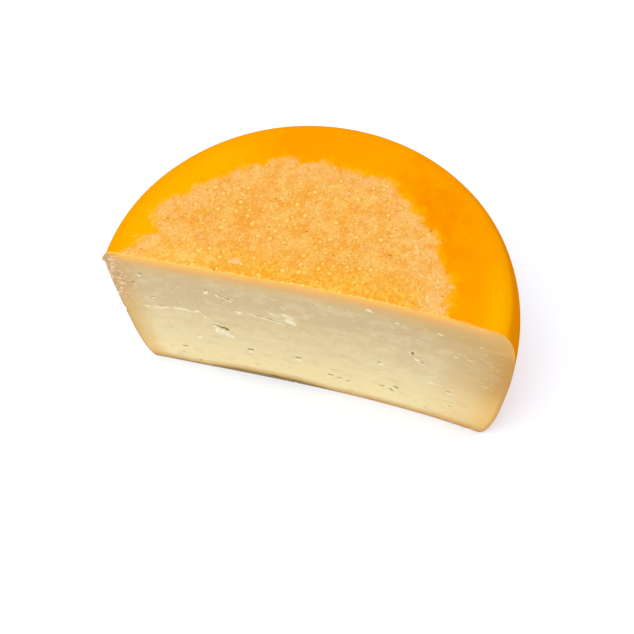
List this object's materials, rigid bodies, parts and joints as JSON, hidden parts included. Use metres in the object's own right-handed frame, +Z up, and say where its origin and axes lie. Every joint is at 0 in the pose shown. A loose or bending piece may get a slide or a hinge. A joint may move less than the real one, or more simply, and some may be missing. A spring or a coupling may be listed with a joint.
{
  "type": "half wheel of goat gouda",
  "caption": "Half of a small round hard cheese with an orange coated rind and a creamy cut face, resting flat on its underside.",
  "frame": {"origin": "on the underside, at the middle of the piece's box", "axes": "+Z up; X along the cut, +X to the right seen from the cut side; +Y from the cut face into the cheese, towards the round back"},
  "size_m": [0.162, 0.0894, 0.0851],
  "materials": {
    "cheese": "orange rind coating with a satin shine, worn matte patch on top, pale cream paste on the cut face"
  },
  "bodies": {
    "root": {"goat_gouda_half": "cheese"}
  },
  "joints": []
}
